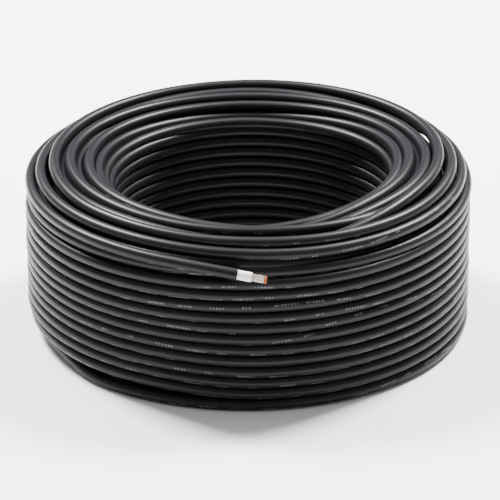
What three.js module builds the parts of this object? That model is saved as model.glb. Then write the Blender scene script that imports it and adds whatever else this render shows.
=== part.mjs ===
// A coil of single-core solar cable, wound round on itself with an open bore.
// It lies on its flat side. The cable's last turn lies on the outer shoulder,
// and its stripped end shows the white insulation and the tinned conductor.
// Millimetres, +Z up, origin on the floor under the middle of the coil.
import * as THREE from 'three';

// Driving dimensions of the cable
const CABLE_D = 6.2;
const INSULATION_D = 4.9;
const CONDUCTOR_D = 3.7;
const INSULATION_SHOWN = 7.3;
const CONDUCTOR_SHOWN = 7.5;

// Driving dimensions of the coil
const COIL_D = 236.8;
const BORE_D = 147.4;
const SHOULDER_Z = 71.06;
const CROWN_Z = 93.2;
const CROWN_STEP_IN = 3.7;
const CROWN_STEP_UP = 8.7;
const CROWN_LEAN = 9.2;
const SEAT_FLAT = 2.4;

// The last turn: where it leaves the winding and where its jacket is cut
const CUT_AZIMUTH = -93;
const LAST_TURN_STEPS = 38;

// Clearance between pieces that lie on or meet each other
const CLEARANCE = 0.3;

// How finely the round shapes are drawn
const ROUND_STEPS = 40;
const TUBE_SIDES = 12;
const STUB_SIDES = 16;
const TURN_FACET_DEG = 42;
const GROOVE_SHARE = 0.5;

const DEG = Math.PI / 180;
const cableR = CABLE_D / 2;
const outerTurnR = COIL_D / 2 - cableR;
const innerTurnR = BORE_D / 2 + cableR;
const seatZ = Math.sqrt(cableR ** 2 - (SEAT_FLAT / 2) ** 2);

// Centres of the turns from one corner of the section to the next, the last one left out
function rowOfTurns(from, to) {
  const count = Math.max(1, Math.round(from.distanceTo(to) / CABLE_D));
  return Array.from({ length: count }, (_, i) => from.clone().lerp(to, i / count));
}

// The section's main turns: lowest outside, top of the wall, first of the crown, top of the bore
const lowInner = new THREE.Vector2(innerTurnR, seatZ);
const lowOuter = new THREE.Vector2(outerTurnR, seatZ);
const wallTop = new THREE.Vector2(outerTurnR, SHOULDER_Z);
const crownStart = new THREE.Vector2(outerTurnR - CROWN_STEP_IN, SHOULDER_Z + CROWN_STEP_UP);
const boreTop = new THREE.Vector2(innerTurnR, SHOULDER_Z);

// The crown's turns lie on one domed arch whose middle is CROWN_Z above the floor
function crownTurns() {
  const controlZ = (CROWN_Z - (crownStart.y + boreTop.y) / 8) * 4 / 3;
  const arch = new THREE.CubicBezierCurve(
    crownStart,
    new THREE.Vector2(crownStart.x, controlZ),
    new THREE.Vector2(boreTop.x + CROWN_LEAN, controlZ),
    boreTop,
  );
  const count = Math.max(3, Math.round(arch.getLength() / CABLE_D));
  return arch.getSpacedPoints(count).slice(0, -1);
}

const turnCentres = [
  ...rowOfTurns(lowInner, lowOuter),
  ...rowOfTurns(lowOuter, wallTop),
  wallTop,
  ...crownTurns(),
  ...rowOfTurns(boreTop, lowInner),
];

// The bottom of the groove between two neighbouring turns
function groove(a, b) {
  const chord = a.distanceTo(b);
  const outward = new THREE.Vector2(b.y - a.y, a.x - b.x).divideScalar(chord);
  const rise = cableR * GROOVE_SHARE - (chord - CABLE_D);
  return a.clone().add(b).divideScalar(2).addScaledVector(outward, rise);
}

// One turn's crest: points on its round jacket from one groove to the next, floor side cut flat
function crest(centre, grooveBefore, grooveAfter) {
  const from = grooveBefore.clone().sub(centre).angle();
  let to = grooveAfter.clone().sub(centre).angle();
  if (to < from) to += 2 * Math.PI;
  const steps = Math.max(3, Math.round((to - from) / (TURN_FACET_DEG * DEG)));
  return Array.from({ length: steps - 1 }, (_, i) => {
    const angle = from + (to - from) * (i + 1) / steps;
    const z = centre.y + cableR * Math.sin(angle);
    return new THREE.Vector2(centre.x + cableR * Math.cos(angle), Math.max(0, z));
  });
}

// The coil's closed section: every outside turn shows as a round ridge between two grooves
function coilSection() {
  const count = turnCentres.length;
  const grooves = turnCentres.map((c, i) => groove(c, turnCentres[(i + 1) % count]));
  const outline = turnCentres.flatMap((c, i) => {
    const before = grooves[(i + count - 1) % count];
    return [...crest(c, before, grooves[i]), grooves[i]];
  });
  return [...outline, outline[0].clone()];
}

function coilGeometry() {
  const startAngle = (CUT_AZIMUTH + 90) * DEG;
  const ring = new THREE.LatheGeometry(coilSection(), ROUND_STEPS, startAngle);
  return ring.rotateX(Math.PI / 2);
}

// The last turn lies in the seat between the top of the wall and the crown's first turn
function lastTurnSeat() {
  const chord = wallTop.distanceTo(crownStart);
  const outward = new THREE.Vector2(crownStart.y - wallTop.y, wallTop.x - crownStart.x);
  const reach = CABLE_D + CLEARANCE;
  const height = Math.sqrt(reach ** 2 - (chord / 2) ** 2);
  const middle = wallTop.clone().add(crownStart).divideScalar(2);
  return middle.addScaledVector(outward.divideScalar(chord), height);
}

const seat = lastTurnSeat();
const stepAngle = 2 * Math.PI / ROUND_STEPS;

class LastTurnPath extends THREE.Curve {
  getPoint(t, target = new THREE.Vector3()) {
    const angle = CUT_AZIMUTH * DEG - (1 - t) * LAST_TURN_STEPS * stepAngle;
    return target.set(seat.x * Math.cos(angle), seat.x * Math.sin(angle), seat.y);
  }
}

function roundShape(radius, sides) {
  const points = Array.from({ length: sides }, (_, i) => {
    const angle = 2 * Math.PI * i / sides;
    return new THREE.Vector2(radius * Math.cos(angle), radius * Math.sin(angle));
  });
  return new THREE.Shape(points);
}

function lastTurnGeometry() {
  return new THREE.ExtrudeGeometry(roundShape(cableR, TUBE_SIDES), {
    steps: LAST_TURN_STEPS,
    extrudePath: new LastTurnPath(),
  });
}

// A round piece of the stripped end, straight on from the cut along the last turn's direction
function stubMesh(name, diameter, startAlong, length, material) {
  const geometry = new THREE.CylinderGeometry(diameter / 2, diameter / 2, length, STUB_SIDES);
  const mesh = new THREE.Mesh(geometry, material);
  mesh.name = name;
  const cut = new LastTurnPath().getPoint(1);
  const along = new THREE.Vector3(-cut.y, cut.x, 0).normalize();
  mesh.position.copy(cut).addScaledVector(along, startAlong + length / 2);
  mesh.quaternion.setFromUnitVectors(new THREE.Vector3(0, 1, 0), along);
  return mesh;
}

function named(name, geometry, material) {
  const mesh = new THREE.Mesh(geometry, material);
  mesh.name = name;
  return mesh;
}

const jacketBlack = new THREE.MeshStandardMaterial({ color: 0x2b2b2d, roughness: 0.5, metalness: 0 });
const insulationWhite = new THREE.MeshStandardMaterial({ color: 0xeeedea, roughness: 0.45, metalness: 0 });
const tinnedCopper = new THREE.MeshStandardMaterial({ color: 0xb9b2a8, roughness: 0.3, metalness: 1 });

const insulationStart = CLEARANCE;
const conductorStart = insulationStart + INSULATION_SHOWN + CLEARANCE;

const group = new THREE.Group();
group.add(named('cable_coil', coilGeometry(), jacketBlack));
group.add(named('loose_end', lastTurnGeometry(), jacketBlack));
group.add(stubMesh('insulation', INSULATION_D, insulationStart, INSULATION_SHOWN, insulationWhite));
group.add(stubMesh('conductor', CONDUCTOR_D, conductorStart, CONDUCTOR_SHOWN, tinnedCopper));

export default group;
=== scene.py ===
"""A coil of black single-core solar cable with one stripped end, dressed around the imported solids."""
import logging
import math
from dataclasses import dataclass, field, replace
from enum import Enum

import bmesh
import bpy
import numpy as np
from mathutils import Matrix, Vector


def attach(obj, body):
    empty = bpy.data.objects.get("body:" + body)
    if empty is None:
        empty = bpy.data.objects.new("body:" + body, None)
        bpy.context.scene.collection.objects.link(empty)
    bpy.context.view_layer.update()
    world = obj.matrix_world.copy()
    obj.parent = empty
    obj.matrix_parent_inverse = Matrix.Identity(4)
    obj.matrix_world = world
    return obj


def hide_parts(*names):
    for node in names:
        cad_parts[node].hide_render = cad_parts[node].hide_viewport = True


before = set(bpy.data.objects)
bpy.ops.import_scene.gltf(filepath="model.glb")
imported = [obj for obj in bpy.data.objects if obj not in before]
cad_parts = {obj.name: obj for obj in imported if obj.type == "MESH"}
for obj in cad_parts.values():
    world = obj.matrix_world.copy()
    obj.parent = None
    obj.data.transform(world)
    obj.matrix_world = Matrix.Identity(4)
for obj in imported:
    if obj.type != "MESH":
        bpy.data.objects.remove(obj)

log = logging.getLogger("cable_coil")
MM = 0.001
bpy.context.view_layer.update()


class Slot(Enum):
    """The record's material slots."""

    JACKET = "jacket"
    INSULATION = "insulation"
    CONDUCTOR = "conductor"


class Crossing(Enum):
    """How the cable crosses from one lap to the next, as the share of a lap that the crossing takes."""

    HELIX = 1.0
    CLIMB = 0.3
    LIFT = 0.16

    def passed(self, angles: np.ndarray, end: float) -> np.ndarray:
        """Tell how far the cable has crossed at each angle.

        Args:
            angles: degrees wound so far.
            end: the angle at the middle of the crossing.

        Returns:
            0 before the crossing and 1 after it.
        """
        share = np.clip((angles - end) / (360.0 * self.value) + 0.5, 0.0, 1.0)
        return share if self is Crossing.HELIX else share * share * (3 - 2 * share)


def linear_colour(hex_code: str) -> tuple[float, float, float, float]:
    """Turn an sRGB hex colour into linear light.

    Args:
        hex_code: six hex digits, with or without a leading hash.

    Returns:
        Red, green, blue and alpha, with alpha 1.
    """
    digits = hex_code.lstrip("#")
    channels = []
    for start in (0, 2, 4):
        value = int(digits[start:start + 2], 16) / 255
        channels.append(value / 12.92 if value <= 0.04045 else ((value + 0.055) / 1.055) ** 2.4)
    return (channels[0], channels[1], channels[2], 1.0)


def add_node(
    tree: bpy.types.NodeTree,
    kind: str,
    settings: dict[str, object] | None = None,
    values: dict[str | int, object] | None = None,
    links: dict[str | int, bpy.types.NodeSocket] | None = None,
) -> bpy.types.Node:
    """Add one shader node with its settings, socket values and incoming links.

    Args:
        tree: the material's node tree.
        kind: the node's Blender type name.
        settings: attributes to set on the node.
        values: input sockets to set, by name or number.
        links: input sockets to link, by name or number, with the socket that feeds each.

    Returns:
        The new node.
    """
    node = tree.nodes.new(kind)
    for name, value in (settings or {}).items():
        setattr(node, name, value)
    for key, value in (values or {}).items():
        node.inputs[key].default_value = value
    for key, source in (links or {}).items():
        tree.links.new(source, node.inputs[key])
    return node


def new_material(name: str) -> tuple[bpy.types.Material, bpy.types.NodeTree, bpy.types.Node]:
    """Start a material with a principled shader and nothing else.

    Args:
        name: the finish's name.

    Returns:
        The material, its node tree and its principled shader.
    """
    material = bpy.data.materials.new(name)
    material.use_nodes = True
    tree = material.node_tree
    tree.nodes.clear()
    shader = add_node(tree, "ShaderNodeBsdfPrincipled")
    add_node(tree, "ShaderNodeOutputMaterial", links={"Surface": shader.outputs["BSDF"]})
    return material, tree, shader


def mesh_object(
    name: str,
    vertices: np.ndarray,
    faces: list[tuple[int, ...]],
    smooth: bool = True,
) -> bpy.types.Object:
    """Make a mesh object in the frame, with its normals facing out.

    Args:
        name: the piece's name.
        vertices: one row of x, y, z in metres for each vertex.
        faces: vertex numbers of each face.
        smooth: whether its faces are shaded smooth.

    Returns:
        The new object, linked to the scene.
    """
    mesh = bpy.data.meshes.new(name)
    mesh.from_pydata(vertices.tolist(), [], faces)
    work = bmesh.new()
    work.from_mesh(mesh)
    bmesh.ops.recalc_face_normals(work, faces=work.faces)
    work.to_mesh(mesh)
    work.free()
    mesh.polygons.foreach_set("use_smooth", [smooth] * len(mesh.polygons))
    piece = bpy.data.objects.new(name, mesh)
    bpy.context.scene.collection.objects.link(piece)
    return piece


@dataclass(frozen=True)
class CrosslinkedJacket:
    """Extruded cross-linked polyolefin, black: satin, with faint draw lines and a row of pale dashes."""

    name: str = "jacket_xlpo_extruded_black"
    colour: str = "#0c0c0f"
    dusty_colour: str = "#161619"
    print_colour: str = "#9a9b9d"
    ior: float = 1.5
    sheen_level: float = 0.17
    roughness: float = 0.38
    draw_line_mm: float = 0.45
    draw_line_run_mm: float = 60.0
    handling_mm: float = 24.0
    print_height_mm: float = 0.95
    print_mark_mm: float = 1.6
    print_group_mm: float = 16.0
    print_twist_m: float = 0.7
    print_strength: float = 0.25
    mark_width: tuple[float, float] = (0.3, 0.4)
    group_width: tuple[float, float] = (0.15, 0.6)
    row_place: tuple[float, float] = (0.05, 0.9)
    girth_mm: float = 19.5
    line_span: tuple[float, float] = (0.3, 0.7)
    shinier: float = 0.07
    duller: float = 0.08
    line_strength: float = 0.12
    line_depth_m: float = 0.00012

    def build(self) -> bpy.types.Material:
        """Make the material.

        Returns:
            The jacket's material, which reads the cable's own map: u along it in metres, v round it in turns.
        """
        material, tree, shader = new_material(self.name)
        uv = add_node(tree, "ShaderNodeUVMap", {"uv_map": "along_round"})
        place = add_node(tree, "ShaderNodeTexCoord")
        split = add_node(tree, "ShaderNodeSeparateXYZ", links={0: uv.outputs["UV"]})
        # Broad patches of handling dust lift the black a little, as on a coil that has lain in a store.
        dust = add_node(
            tree, "ShaderNodeTexNoise",
            values={"Scale": 1000 / self.handling_mm, "Detail": 4.0, "Roughness": 0.6},
            links={"Vector": place.outputs["Object"]},
        )
        body = add_node(
            tree, "ShaderNodeMix", {"data_type": "RGBA"},
            values={6: linear_colour(self.colour), 7: linear_colour(self.dusty_colour)},
            links={0: dust.outputs["Fac"]},
        )
        mark = self.print_mask(tree, split)
        printed = add_node(
            tree, "ShaderNodeMix", {"data_type": "RGBA"},
            values={7: linear_colour(self.print_colour)},
            links={0: mark, 6: body.outputs[2]},
        )
        tree.links.new(printed.outputs[2], shader.inputs["Base Color"])
        # Draw lines from the extruder's die: long along the cable and narrow round it.
        stretch = add_node(
            tree, "ShaderNodeMapping", {"vector_type": "POINT"},
            values={"Scale": (1000 / self.draw_line_run_mm, self.girth_mm / self.draw_line_mm, 1.0)},
            links={"Vector": uv.outputs["UV"]},
        )
        lines = add_node(
            tree, "ShaderNodeTexNoise", {"noise_dimensions": "2D"},
            values={"Scale": 1.0, "Detail": 3.0, "Roughness": 0.55},
            links={"Vector": stretch.outputs["Vector"]},
        )
        gloss = add_node(
            tree, "ShaderNodeMapRange",
            values={
                "From Min": self.line_span[0], "From Max": self.line_span[1],
                "To Min": self.roughness - self.shinier, "To Max": self.roughness + self.duller,
            },
            links={"Value": lines.outputs["Fac"]},
        )
        tree.links.new(gloss.outputs["Result"], shader.inputs["Roughness"])
        bump = add_node(
            tree, "ShaderNodeBump",
            values={"Strength": self.line_strength, "Distance": self.line_depth_m},
            links={"Height": lines.outputs["Fac"]},
        )
        tree.links.new(bump.outputs["Normal"], shader.inputs["Normal"])
        shader.inputs["IOR"].default_value = self.ior
        shader.inputs["Specular IOR Level"].default_value = self.sheen_level
        return material

    def print_mask(self, tree: bpy.types.NodeTree, split: bpy.types.Node) -> bpy.types.NodeSocket:
        """Draw a plain row of upright dashes of uneven width along one line of the jacket.

        Args:
            tree: the material's node tree.
            split: the node that gives u and v apart.

        Returns:
            A socket that is 1 on the ink and 0 beside it.
        """
        def maths(operation: str, *inputs: object) -> bpy.types.NodeSocket:
            """Add a maths node on numbers or sockets, and give its output."""
            node = add_node(tree, "ShaderNodeMath", {"operation": operation})
            for number, value in enumerate(inputs):
                if isinstance(value, bpy.types.NodeSocket):
                    tree.links.new(value, node.inputs[number])
                else:
                    node.inputs[number].default_value = value
            return node.outputs[0]

        along, round_it = split.outputs["X"], split.outputs["Y"]
        mark = maths("DIVIDE", along, self.print_mark_mm * MM)
        pick = add_node(
            tree, "ShaderNodeTexWhiteNoise", {"noise_dimensions": "1D"},
            links={"W": maths("FLOOR", mark)},
        )
        least, spread = self.mark_width
        width = maths("MULTIPLY_ADD", pick.outputs["Value"], spread, least)
        dash = maths("LESS_THAN", maths("FRACT", mark), width)
        group = maths("DIVIDE", along, self.print_group_mm * MM)
        turn_up = add_node(
            tree, "ShaderNodeTexWhiteNoise", {"noise_dimensions": "1D"},
            links={"W": maths("FLOOR", group)},
        )
        least, spread = self.group_width
        share = maths("MULTIPLY_ADD", turn_up.outputs["Value"], spread, least)
        grouped = maths("LESS_THAN", maths("FRACT", group), share)
        # The cable twists a little as it is wound, so the row wanders round it and is lost in places.
        twist = add_node(
            tree, "ShaderNodeTexNoise", {"noise_dimensions": "1D"},
            values={"Detail": 1.0},
            links={"W": maths("DIVIDE", along, self.print_twist_m)},
        )
        least, spread = self.row_place
        centre = maths("MULTIPLY_ADD", twist.outputs["Fac"], spread, least)
        offset = maths("ABSOLUTE", maths("SUBTRACT", round_it, centre))
        height = self.print_height_mm / self.girth_mm / 2
        in_row = maths("LESS_THAN", offset, height)
        ink = maths("MULTIPLY", maths("MULTIPLY", dash, grouped), in_row)
        return maths("MULTIPLY", ink, self.print_strength)


@dataclass(frozen=True)
class NaturalInsulation:
    """Extruded cross-linked insulation, natural white: satin and slightly see-through at its edges."""

    name: str = "insulation_xlpo_natural_white"
    colour: str = "#efeeea"
    scuff_colour: str = "#d9d7d1"
    ior: float = 1.5
    roughness: float = 0.38
    scuff_mm: float = 2.0

    def build(self) -> bpy.types.Material:
        """Make the material.

        Returns:
            The insulation's material.
        """
        material, tree, shader = new_material(self.name)
        place = add_node(tree, "ShaderNodeTexCoord")
        scuffs = add_node(
            tree, "ShaderNodeTexNoise",
            values={"Scale": 1000 / self.scuff_mm, "Detail": 5.0},
            links={"Vector": place.outputs["Object"]},
        )
        colour = add_node(
            tree, "ShaderNodeMix", {"data_type": "RGBA"},
            values={6: linear_colour(self.scuff_colour), 7: linear_colour(self.colour)},
            links={0: scuffs.outputs["Fac"]},
        )
        tree.links.new(colour.outputs[2], shader.inputs["Base Color"])
        bump = add_node(
            tree, "ShaderNodeBump",
            values={"Strength": 0.25, "Distance": 0.0001},
            links={"Height": scuffs.outputs["Fac"]},
        )
        tree.links.new(bump.outputs["Normal"], shader.inputs["Normal"])
        shader.inputs["IOR"].default_value = self.ior
        shader.inputs["Roughness"].default_value = self.roughness
        shader.inputs["Subsurface Weight"].default_value = 0.15
        shader.inputs["Subsurface Scale"].default_value = 0.0015
        return material


@dataclass(frozen=True)
class TinnedStrand:
    """Drawn copper wire with a bright tin coat: pale grey metal, faintly warm where the coat is thin."""

    name: str = "conductor_tinned_copper_drawn"
    tin: str = "#cfccc6"
    thin_coat: str = "#b99f86"
    roughness: float = 0.26
    patch_mm: float = 1.4

    def build(self) -> bpy.types.Material:
        """Make the material.

        Returns:
            The strands' material.
        """
        material, tree, shader = new_material(self.name)
        place = add_node(tree, "ShaderNodeTexCoord")
        patches = add_node(
            tree, "ShaderNodeTexNoise",
            values={"Scale": 1000 / self.patch_mm, "Detail": 2.0},
            links={"Vector": place.outputs["Object"]},
        )
        ramp = add_node(tree, "ShaderNodeValToRGB", links={"Fac": patches.outputs["Fac"]})
        ramp.color_ramp.elements[0].position = 0.3
        ramp.color_ramp.elements[0].color = linear_colour(self.thin_coat)
        ramp.color_ramp.elements[1].position = 0.52
        ramp.color_ramp.elements[1].color = linear_colour(self.tin)
        tree.links.new(ramp.outputs["Color"], shader.inputs["Base Color"])
        shader.inputs["Metallic"].default_value = 1.0
        shader.inputs["Roughness"].default_value = self.roughness
        return material


@dataclass(frozen=True)
class CutCopper:
    """Bare copper where the strands were cut across: warm, with the blunt sheen of a sheared face."""

    name: str = "conductor_copper_sheared"
    colour: str = "#c0674a"
    shade: str = "#8f4f30"
    roughness: float = 0.36
    grain_mm: float = 0.3

    def build(self) -> bpy.types.Material:
        """Make the material.

        Returns:
            The cut faces' material.
        """
        material, tree, shader = new_material(self.name)
        place = add_node(tree, "ShaderNodeTexCoord")
        grain = add_node(
            tree, "ShaderNodeTexNoise",
            values={"Scale": 1000 / self.grain_mm, "Detail": 2.0},
            links={"Vector": place.outputs["Object"]},
        )
        colour = add_node(
            tree, "ShaderNodeMix", {"data_type": "RGBA"},
            values={6: linear_colour(self.shade), 7: linear_colour(self.colour)},
            links={0: grain.outputs["Fac"]},
        )
        tree.links.new(colour.outputs[2], shader.inputs["Base Color"])
        shader.inputs["Metallic"].default_value = 1.0
        shader.inputs["Roughness"].default_value = self.roughness
        return material


@dataclass
class Cable:
    """The cable's own make-up, in millimetres."""

    jacket_d: float = 6.2
    insulation_d: float = 4.9
    conductor_d: float = 3.7
    insulation_shown: float = 7.3
    conductor_shown: float = 7.5


@dataclass(frozen=True)
class Track:
    """A run once round the coil: the centre's radius and height at a few azimuths, in cable diameters."""

    keys: tuple[tuple[float, float, float], ...]

    def at(self, azimuth: np.ndarray) -> np.ndarray:
        """Read the track's radius and height, smoothly between its keys.

        Args:
            azimuth: degrees from the coil's right, counted the way the cable is wound.

        Returns:
            One row of radius and height for each azimuth.
        """
        keys = np.array(self.keys)
        if len(keys) == 1:
            return np.repeat(keys[:, 1:], len(azimuth), axis=0)
        lap = np.array([360.0, 0.0, 0.0])
        around = np.vstack([keys - lap, keys, keys + lap])
        here = np.mod(azimuth, 360.0)
        return np.stack([smooth_through(here, around[:, 0], around[:, n]) for n in (1, 2)], axis=1)


@dataclass(frozen=True)
class Leg:
    """One lap: its track, where the cable leaves it, and how gently it crosses to the next."""

    track: Track
    leave: float
    crossing: Crossing
    shown: bool = False


def level(radius: float, height: float) -> Track:
    """Make a track of one radius and one height.

    Args:
        radius: from the coil's axis, in cable diameters.
        height: above the floor, in cable diameters.

    Returns:
        The track.
    """
    return Track(((0.0, radius, height),))


def quarters(*places: tuple[float, float]) -> Track:
    """Make a track from four places a quarter of a lap apart.

    Args:
        places: radius and height at the right, the back, the left and the front.

    Returns:
        The track.
    """
    return Track(tuple((90.0 * number, *place) for number, place in enumerate(places)))


@dataclass
class Winding:
    """The wound route of the cable, layer on layer, in cable diameters and degrees."""

    cable: Cable
    front: float = 270.0
    back: float = 90.0
    swap: float = 280.0
    cut: float = 267.0
    inner_wall: tuple[float, ...] = (12.8, 12.4, 12.0, 12.4)
    inner_rows: int = 13
    outer_rows: int = 12
    hidden_radii: tuple[float, ...] = (13.8, 14.4, 15.0, 15.6, 16.2, 16.8, 17.4)
    hidden_rows: int = 7
    hidden_pitch: float = 1.9
    seat: float = 0.5
    lift: float = 0.7
    # No lap is shorter than this share of a turn, where the next place to leave comes early.
    shortest_lap: float = 0.4
    edge_drop: float = 0.65
    inner_rise: float = 0.985
    outer_rise: float = 0.99
    lifted_rows: int = 9
    last_front_layer: int = 5
    # Hidden laps below near_floor or above near_top are drawn as finely as the laps that show.
    near_floor: float = 2.0
    near_top: float = 11.0
    shown_steps: int = 112
    hidden_steps: int = 40
    outward_wander: tuple[float, int] = (0.2, 3)
    upward_wander: tuple[float, int] = (0.12, 11)
    wander_rates: tuple[float, ...] = (0.37, 0.81, 1.6, 2.7)
    wander_sum: float = 1.6
    legs: list[Leg] = field(default_factory=list)

    def crown(self) -> list[list[Track]]:
        """Tell how the top laps lie, in the groups in which the layers reach the top.

        Returns:
            For each pair of layers the tracks from the bore outwards.
        """
        return [
            [
                quarters((12.15, 13.7), (12.3, 13.08), (12.5, 13.1), (12.4, 13.0)),
                quarters((12.7, 14.5), (13.2, 13.27), (13.0, 13.9), (12.9, 13.9)),
            ],
            [
                quarters((13.6, 14.9), (13.6, 14.15), (13.8, 14.5), (13.7, 14.45)),
                quarters((14.4, 14.2), (14.95, 13.75), (14.7, 14.05), (14.15, 13.6)),
            ],
            [
                quarters((15.05, 14.9), (14.45, 14.63), (15.35, 14.8), (14.6, 14.37)),
                quarters((15.65, 14.15), (15.45, 14.68), (16.05, 14.05), (15.5, 14.44)),
            ],
            [
                Track(((0.0, 16.1, 15.35), (90.0, 16.45, 15.07), (180.0, 16.7, 14.72), (217.0, 16.6, 14.36),
                       (250.0, 16.5, 14.36), (280.0, 16.4, 14.6))),
                quarters((17.2, 14.6), (17.35, 14.3), (17.85, 14.0), (17.4, 13.85)),
                quarters((18.0, 13.9), (18.1, 13.4), (17.95, 12.85), (18.0, 13.15)),
            ],
        ]

    def wind(self) -> None:
        """Lay the layers one after the other, up and down by turns, and the last lap on the shoulder."""
        crown = self.crown()
        for row in range(self.inner_rows):
            track = quarters(*((radius, self.seat + self.inner_rise * row) for radius in self.inner_wall))
            self.legs.append(Leg(track, self.front, Crossing.HELIX, True))
        for number, radius in enumerate(self.hidden_radii, start=1):
            down = number % 2 == 1
            leave = self.swap if number > self.last_front_layer else self.front
            if down:
                for track in crown[number // 2]:
                    self.legs.append(Leg(track, leave, Crossing.CLIMB, True))
            low = self.seat + (self.hidden_pitch / 2 if down else 0.0)
            rows = [low + self.hidden_pitch * row for row in range(self.hidden_rows)]
            if number == len(self.hidden_radii):
                # The outermost hidden layer's top lap lies lower, which leaves room for the crown's edge.
                rows[-1] -= self.edge_drop
            for height in (rows[::-1] if down else rows):
                high = height > self.near_top
                crossing = Crossing.CLIMB if high else Crossing.LIFT
                shown = high or height < self.near_floor
                self.legs.append(Leg(level(radius, height), leave, crossing, shown))
        # The last hidden lap comes out to the outer wall at the back, where that wall begins.
        self.legs[-1] = replace(self.legs[-1], leave=self.back)
        low = self.seat
        first = Track(((0.0, 18.4, low), (90.0, 18.5, low), (150.0, 18.2, low), (180.0, 17.8, low),
                       (208.0, 17.95, low), (230.0, 18.7, low), (270.0, 18.6, low)))
        self.legs.append(Leg(first, self.back, Crossing.HELIX, True))
        for row in range(1, self.outer_rows):
            height = self.seat + self.outer_rise * row
            lift = self.lift * max(0.0, 1.0 - row / self.lifted_rows)
            track = Track(((0.0, 18.4, height), (90.0, 18.6, height), (180.0, 18.8, height + 0.6 * lift),
                           (215.0, 18.8, height + lift), (240.0, 18.75, height + 0.9 * lift),
                           (275.0, 18.6, height)))
            self.legs.append(Leg(track, self.back, Crossing.HELIX, True))
        shoulder = quarters((18.4, 12.35), (18.5, 12.4), (18.6, 12.4), (18.15, 12.25))
        self.legs.append(Leg(shoulder, 0.0, Crossing.CLIMB, True))
        # The last lap lies on the shoulder, and leans outwards and down towards its cut.
        loose = Track(((0.0, 18.6, 13.2), (90.0, 18.85, 13.2), (180.0, 18.75, 13.3),
                       (225.0, 18.7, 13.2), (250.0, 18.72, 12.98), (260.0, 18.9, 12.76),
                       (267.0, 19.2, 12.53), (275.0, 19.9, 12.2)))
        self.legs.append(Leg(loose, self.cut, Crossing.CLIMB, True))

    def sample(self) -> np.ndarray:
        """Work out the centreline's points, close together where laps show and wider where they are hidden.

        Returns:
            One row of x, y, z in millimetres for each point.
        """
        start = self.front - 360.0
        ends, angle = [], start
        for leg in self.legs:
            angle += self.shortest_lap * 360.0
            angle += (leg.leave - angle) % 360.0
            ends.append(angle)
        # The cable starts where its first lap begins to climb, so that the second clears it.
        pieces, begin = [], start + 180.0
        for leg, end in zip(self.legs, ends):
            step = 360.0 / (self.shown_steps if leg.shown else self.hidden_steps)
            pieces.append(np.arange(begin, end, step))
            begin = end
        angles = np.append(np.concatenate(pieces), ends[-1])
        place = np.zeros((len(angles), 2))
        entered = np.ones(len(angles))
        for leg, end in zip(self.legs, ends):
            passed = leg.crossing.passed(angles, end) if leg is not self.legs[-1] else np.zeros(len(angles))
            weight = entered - passed
            used = weight > 0
            place[used] += weight[used, None] * leg.track.at(angles[used])
            entered = passed
        diameter = self.cable.jacket_d
        laps = angles / 360.0
        r = place[:, 0] * diameter + self.wander(laps, *self.outward_wander)
        z = place[:, 1] * diameter + self.wander(laps, *self.upward_wander)
        z = np.maximum(z, diameter / 2)
        turn = np.radians(angles)
        return np.stack([r * np.cos(turn), r * np.sin(turn), z], axis=1)

    def wander(self, wound: np.ndarray, size: float, seed: int) -> np.ndarray:
        """Small slow wandering of the turns, as a hand-guided winder leaves it.

        Args:
            wound: turns wound so far at each point.
            size: how far it wanders, in millimetres.
            seed: picks one wandering among many.

        Returns:
            The offset at each point, in millimetres.
        """
        rng = np.random.default_rng(seed)
        out = np.zeros_like(wound)
        for rate in self.wander_rates:
            out += rng.uniform(0.4, 1.0) * np.sin(2 * math.pi * (rate * wound + rng.uniform()))
        return out * size / self.wander_sum


def smooth_through(x: np.ndarray, at: np.ndarray, values: np.ndarray) -> np.ndarray:
    """Draw a smooth line through stations that never overshoots between two of them.

    Args:
        x: where the line is read.
        at: the stations' places, rising.
        values: the stations' values.

    Returns:
        The line's value at each x.
    """
    gap = np.diff(at)
    slope = np.diff(values) / gap
    tangent = np.zeros_like(values)
    same_way = slope[:-1] * slope[1:] > 0
    harmonic = 2 * slope[:-1] * slope[1:] / np.where(same_way, slope[:-1] + slope[1:], 1.0)
    tangent[1:-1] = np.where(same_way, harmonic, 0.0)
    tangent[0], tangent[-1] = slope[0], slope[-1]
    index = np.clip(np.searchsorted(at, x, side="right") - 1, 0, len(gap) - 1)
    width = gap[index]
    t = (x - at[index]) / width
    rise = values[index + 1] - values[index]
    bend = (tangent[index] * width) * (t ** 3 - 2 * t ** 2 + t)
    bend += (tangent[index + 1] * width) * (t ** 3 - t ** 2)
    return values[index] + rise * (3 * t ** 2 - 2 * t ** 3) + bend


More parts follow.
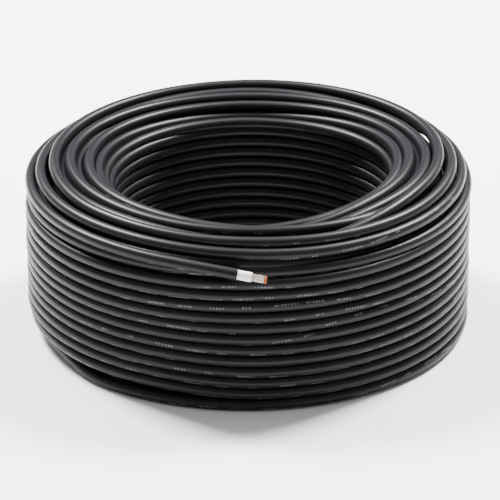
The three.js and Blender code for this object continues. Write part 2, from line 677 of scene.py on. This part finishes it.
@dataclass
class JacketTube:
    """The black jacket: one tube along the whole winding, open at both cuts to take the insulation."""

    cable: Cable
    path: np.ndarray
    sides: int = 14
    print_turn: float = -0.09
    cut_recess: float = 2.4
    cut_play: float = 0.1

    def frames(self) -> tuple[np.ndarray, np.ndarray, np.ndarray]:
        """Directions along, outwards and upwards at each point of the route.

        Returns:
            Three arrays of unit rows.
        """
        along = np.gradient(self.path, axis=0)
        along /= np.linalg.norm(along, axis=1, keepdims=True)
        outward = self.path * np.array([1.0, 1.0, 0.0])
        outward -= (outward * along).sum(axis=1, keepdims=True) * along
        outward /= np.linalg.norm(outward, axis=1, keepdims=True)
        return along, outward, np.cross(outward, along)

    def build(self) -> bpy.types.Object:
        """Make the tube with its map along and round it.

        Returns:
            The jacket piece.
        """
        along, outward, upward = self.frames()
        radius = self.cable.jacket_d / 2
        turn = 2 * math.pi * np.arange(self.sides) / self.sides + math.pi
        ring = radius * np.stack([np.cos(turn), np.sin(turn)], axis=1)
        spokes = ring[None, :, :1] * outward[:, None, :] + ring[None, :, 1:] * upward[:, None, :]
        vertices = (self.path[:, None, :] + spokes).reshape(-1, 3)
        count = len(self.path)
        faces = []
        for i in range(count - 1):
            for j in range(self.sides):
                k = (j + 1) % self.sides
                faces.append((
                    i * self.sides + j, i * self.sides + k,
                    (i + 1) * self.sides + k, (i + 1) * self.sides + j,
                ))
        extra, caps = self.cut_faces(vertices, along)
        piece = mesh_object("cable_jacket", np.vstack([vertices] + extra) * MM, faces + caps)
        self.map_along(piece.data, count)
        return piece

    def cut_faces(
        self, vertices: np.ndarray, along: np.ndarray,
    ) -> tuple[list[np.ndarray], list[tuple[int, ...]]]:
        """Close each end with the jacket's cut wall and a short recess round the insulation.

        Args:
            vertices: the tube's rings, one after the other.
            along: the route's direction at each ring.

        Returns:
            The added vertices and the added faces.
        """
        share = (self.cable.insulation_d + self.cut_play) / self.cable.jacket_d
        extra: list[np.ndarray] = []
        faces: list[tuple[int, ...]] = []
        start = len(vertices)
        for end, inward in ((0, 1.0), (len(self.path) - 1, -1.0)):
            rim = end * self.sides
            outer = vertices[rim:rim + self.sides]
            centre = self.path[end]
            lip = centre + (outer - centre) * share
            back = lip + inward * self.cut_recess * along[end]
            extra += [lip, back]
            for j in range(self.sides):
                k = (j + 1) % self.sides
                faces.append((rim + j, rim + k, start + k, start + j))
                faces.append((start + j, start + k, start + self.sides + k, start + self.sides + j))
            faces.append(tuple(start + self.sides + j for j in range(self.sides)))
            start += 2 * self.sides
        return extra, faces

    def map_along(self, mesh: bpy.types.Mesh, count: int) -> None:
        """Write the map that the jacket's finish reads: metres along the cable and turns round it.

        Args:
            mesh: the tube's mesh.
            count: how many rings the tube has.
        """
        steps = np.linalg.norm(np.diff(self.path, axis=0), axis=1) * MM
        run = np.concatenate([[0.0], np.cumsum(steps)])
        layer = mesh.uv_layers.new(name="along_round")
        loops = np.empty(len(mesh.loops), dtype=np.int64)
        mesh.loops.foreach_get("vertex_index", loops)
        on_tube = loops < count * self.sides
        ring = np.where(on_tube, loops // self.sides, 0)
        side = np.where(on_tube, loops % self.sides, 0)
        v = side / self.sides - self.print_turn
        starts = np.empty(len(mesh.polygons), dtype=np.int64)
        mesh.polygons.foreach_get("loop_start", starts)
        sizes = np.empty(len(mesh.polygons), dtype=np.int64)
        mesh.polygons.foreach_get("loop_total", sizes)
        face_of = np.repeat(np.arange(len(sizes)), sizes)
        wraps = np.zeros(len(sizes), dtype=bool)
        has_last = np.zeros(len(sizes), dtype=bool)
        np.logical_or.at(wraps, face_of, (side == 0) & on_tube)
        np.logical_or.at(has_last, face_of, side == self.sides - 1)
        v = v + np.where((wraps & has_last)[face_of] & (side == 0), 1.0, 0.0)
        uv = np.stack([run[ring], v], axis=1)
        uv[~on_tube] = (0.0, 0.0)
        layer.data.foreach_set("uv", uv.astype(np.float32).ravel())


@dataclass
class StrippedEnd:
    """What shows past the jacket's cut: the white insulation and the fine strands of the conductor."""

    cable: Cable
    cut: np.ndarray
    along: np.ndarray
    outward: np.ndarray
    insulation_shown: float
    conductor_shown: float
    prefix: str = ""
    inside: float = 2.2
    strand_d: float = 0.4
    lay_length: float = 38.0
    sheared_back: float = 1.3
    sleeve_sides: int = 40
    sleeve_play: float = 0.06
    ragged: float = 0.22
    strand_sides: int = 7
    strand_steps: int = 11
    strand_rings: int = 4
    flare: float = 0.05

    def place(self, points: np.ndarray) -> np.ndarray:
        """Put points measured from the cut into the frame.

        Args:
            points: one row of along, outward and upward distances in millimetres for each point.

        Returns:
            One row of x, y, z in metres for each point.
        """
        upward = np.cross(self.outward, self.along)
        return (self.cut + points @ np.stack([self.along, self.outward, upward])) * MM

    def insulation(self) -> bpy.types.Object:
        """Make the insulation: a tube with a slightly ragged cut, open round the strands.

        Returns:
            The insulation piece.
        """
        sides = self.sleeve_sides
        outer = self.cable.insulation_d / 2
        inner = self.cable.conductor_d / 2 + self.sleeve_play
        shown = self.insulation_shown
        rings = [
            (-self.inside, inner), (-self.inside, outer - 0.05), (0.0, outer), (shown * 0.3, outer - 0.03),
            (shown * 0.62, outer + 0.02), (shown - 0.35, outer), (shown, outer - 0.2),
            (shown - 0.05, inner + 0.1), (shown - 0.8, inner),
        ]
        rng = np.random.default_rng(5)
        ragged = np.convolve(rng.normal(0, self.ragged, sides + 4), np.ones(5) / 5, "valid")[:sides]
        turn = 2 * math.pi * np.arange(sides) / sides
        points = []
        for number, (run, radius) in enumerate(rings):
            at_cut = number in (5, 6, 7)
            offset = ragged if at_cut and shown > 1 else np.zeros(sides)
            points.append(np.stack([run + offset, radius * np.cos(turn), radius * np.sin(turn)], axis=1))
        faces = []
        total = len(rings)
        for i in range(total):
            for j in range(sides):
                k = (j + 1) % sides
                n = (i + 1) % total
                faces.append((i * sides + j, i * sides + k, n * sides + k, n * sides + j))
        return mesh_object(self.prefix + "insulation_sleeve", self.place(np.vstack(points)), faces)

    def strands(self) -> bpy.types.Object:
        """Make the conductor: rings of thin twisted wires, each cut at a slightly different length.

        Returns:
            The conductor piece, whose second material is on the cut faces.
        """
        rng = np.random.default_rng(8)
        reach = (self.cable.conductor_d - self.strand_d) / 2
        rings = self.strand_rings
        layers = [(reach * k / rings, max(1, 6 * k)) for k in range(rings + 1)]
        start = -self.inside * 0.5
        end = self.insulation_shown + self.conductor_shown
        sides, steps = self.strand_sides, self.strand_steps
        points, faces, cut_faces, copper_faces = [], [], [], []
        for ring_radius, number in layers:
            for wire in range(number):
                phase = 2 * math.pi * wire / number + rng.uniform(-0.08, 0.08)
                tip = end + rng.uniform(-0.28, 0.05)
                bare = tip - min(self.sheared_back, self.conductor_shown / 2) * rng.uniform(0.5, 1.3)
                run = np.append(np.linspace(start, bare, steps - 1), tip)
                past = (run - self.insulation_shown) / self.conductor_shown
                spread = ring_radius * (1 + self.flare * np.clip(past, 0, 1) ** 2)
                angle = phase + 2 * math.pi * run / self.lay_length
                axis = np.stack([run, spread * np.cos(angle), spread * np.sin(angle)], axis=1)
                base = len(points) * sides
                for centre in axis:
                    turn = 2 * math.pi * np.arange(sides) / sides
                    r = self.strand_d / 2
                    rim = np.stack([np.zeros(sides), r * np.cos(turn), r * np.sin(turn)], axis=1)
                    points.append(centre + rim)
                for i in range(steps - 1):
                    if i == steps - 2:
                        copper_faces += range(len(faces), len(faces) + sides)
                    for j in range(sides):
                        k = (j + 1) % sides
                        row = base + i * sides
                        faces.append((row + j, row + k, row + sides + k, row + sides + j))
                faces.append(tuple(base + j for j in range(sides)))
                cut_faces.append(len(faces))
                faces.append(tuple(base + (steps - 1) * sides + j for j in range(sides)))
        piece = mesh_object(self.prefix + "conductor_strands", self.place(np.vstack(points)), faces)
        for number in cut_faces + copper_faces:
            piece.data.polygons[number].material_index = 1
        for number in cut_faces:
            piece.data.polygons[number].use_smooth = False
        return piece


@dataclass
class PhotoCamera:
    """The photograph's viewpoint, in cable diameters about the coil's axis and in degrees."""

    cable: Cable
    distance: float = 300.0
    elevation: float = 24.0
    roll: float = -0.17
    aim_x: float = -0.025
    aim_height: float = 6.16
    pixels_per_diameter: float = 11.555
    sensor_mm: float = 36.0
    picture_px: int = 500
    near_m: float = 0.05
    far_m: float = 20

    def build(self) -> bpy.types.Object:
        """Make the camera and make it the scene's own.

        Returns:
            The camera.
        """
        unit = self.cable.jacket_d * MM
        tilt = math.radians(self.elevation)
        data = bpy.data.cameras.new("photo_camera")
        data.sensor_width = self.sensor_mm
        data.lens = self.sensor_mm * self.pixels_per_diameter * self.distance / self.picture_px
        data.clip_start = self.near_m
        data.clip_end = self.far_m
        camera = bpy.data.objects.new("photo_camera", data)
        away = Vector((0, -math.cos(tilt), math.sin(tilt))) * self.distance * unit
        camera.location = Vector((self.aim_x * unit, 0, self.aim_height * unit)) + away
        look = Matrix.Rotation(math.pi / 2 - tilt, 4, "X") @ Matrix.Rotation(math.radians(self.roll), 4, "Z")
        camera.rotation_euler = look.to_euler()
        bpy.context.scene.collection.objects.link(camera)
        bpy.context.scene.camera = camera
        return camera


@dataclass
class Studio:
    """A plain pale floor and soft studio light, in metres."""

    floor_half: float = 3.0
    floor_colour: str = "#fbfbfa"
    floor_roughness: float = 0.9
    surround_colour: str = "#ffffff"
    surround_strength: float = 0.45
    aim_height: float = 0.05
    overhead_watts: float = 5.0
    side_watts: float = 135.0

    def floor(self) -> bpy.types.Object:
        """Make the pale floor that the coil lies on.

        Returns:
            The floor.
        """
        h = self.floor_half
        corners = np.array([(-h, -h, 0), (h, -h, 0), (h, h, 0), (-h, h, 0)], dtype=float)
        floor = mesh_object("studio_floor", corners, [(0, 1, 2, 3)], smooth=False)
        material, _, shader = new_material("floor_matt_pale")
        shader.inputs["Base Color"].default_value = linear_colour(self.floor_colour)
        shader.inputs["Roughness"].default_value = self.floor_roughness
        floor.data.materials.append(material)
        return floor

    def light(
        self, name: str, place: tuple[float, float, float], size: tuple[float, float], power: float,
    ) -> None:
        """Add one soft rectangular light that faces the coil.

        Args:
            name: the light's name.
            place: where it stands.
            size: its width and height.
            power: its power in watts.
        """
        data = bpy.data.lights.new(name, "AREA")
        data.shape = "RECTANGLE"
        data.size, data.size_y = size
        data.energy = power
        lamp = bpy.data.objects.new(name, data)
        lamp.location = place
        aim = Vector((0, 0, self.aim_height)) - Vector(place)
        lamp.rotation_euler = aim.to_track_quat("-Z", "Y").to_euler()
        bpy.context.scene.collection.objects.link(lamp)

    def build(self) -> None:
        """Set up the floor, the pale surround and the lights."""
        self.floor()
        world = bpy.data.worlds.new("pale_surround")
        world.use_nodes = True
        surround = world.node_tree.nodes["Background"]
        surround.inputs["Color"].default_value = linear_colour(self.surround_colour)
        surround.inputs["Strength"].default_value = self.surround_strength
        bpy.context.scene.world = world
        self.light("overhead_softbox", (0.0, 0.25, 1.5), (1.1, 0.9), self.overhead_watts)
        self.light("left_softbox", (-0.85, 0.75, 1.5), (0.45, 0.6), self.side_watts)
        self.light("right_softbox", (0.85, 0.75, 1.5), (0.45, 0.6), self.side_watts)


@dataclass
class CableCoil:
    """The whole coil: its route, its jacket and its two cut ends."""

    cable: Cable = field(default_factory=Cable)
    flush_cut: float = 0.1

    def build(self) -> None:
        winding = Winding(self.cable)
        winding.wind()
        path = winding.sample()
        tube = JacketTube(self.cable, path)
        along, outward, _ = tube.frames()
        jacket = tube.build()
        log.info("%s: %d faces", jacket.name, len(jacket.data.polygons))
        shown_end = StrippedEnd(
            self.cable, path[-1], along[-1], outward[-1],
            self.cable.insulation_shown, self.cable.conductor_shown,
        )
        start_end = StrippedEnd(
            self.cable, path[0], -along[0], outward[0],
            self.flush_cut, self.flush_cut, prefix="start_",
        )
        tin, copper = TinnedStrand().build(), CutCopper().build()
        white = NaturalInsulation().build()
        for end in (shown_end, start_end):
            sleeve, strands = end.insulation(), end.strands()
            sleeve.data.materials.append(white)
            strands.data.materials.append(tin)
            strands.data.materials.append(copper)
            for piece, slot in ((sleeve, Slot.INSULATION), (strands, Slot.CONDUCTOR)):
                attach(piece, "root")
                log.info("%s: %d faces", piece.name, len(piece.data.polygons))
        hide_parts("insulation")
        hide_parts("conductor")
        jacket.data.materials.append(CrosslinkedJacket().build())
        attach(jacket, "root")
        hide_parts("cable_coil", "loose_end")


def main() -> None:
    """Build the camera, the coil and the studio."""
    logging.basicConfig(level=logging.INFO, format="%(message)s")
    cable = Cable()
    PhotoCamera(cable).build()
    CableCoil(cable).build()
    Studio().build()


if __name__ == "__main__":
    main()
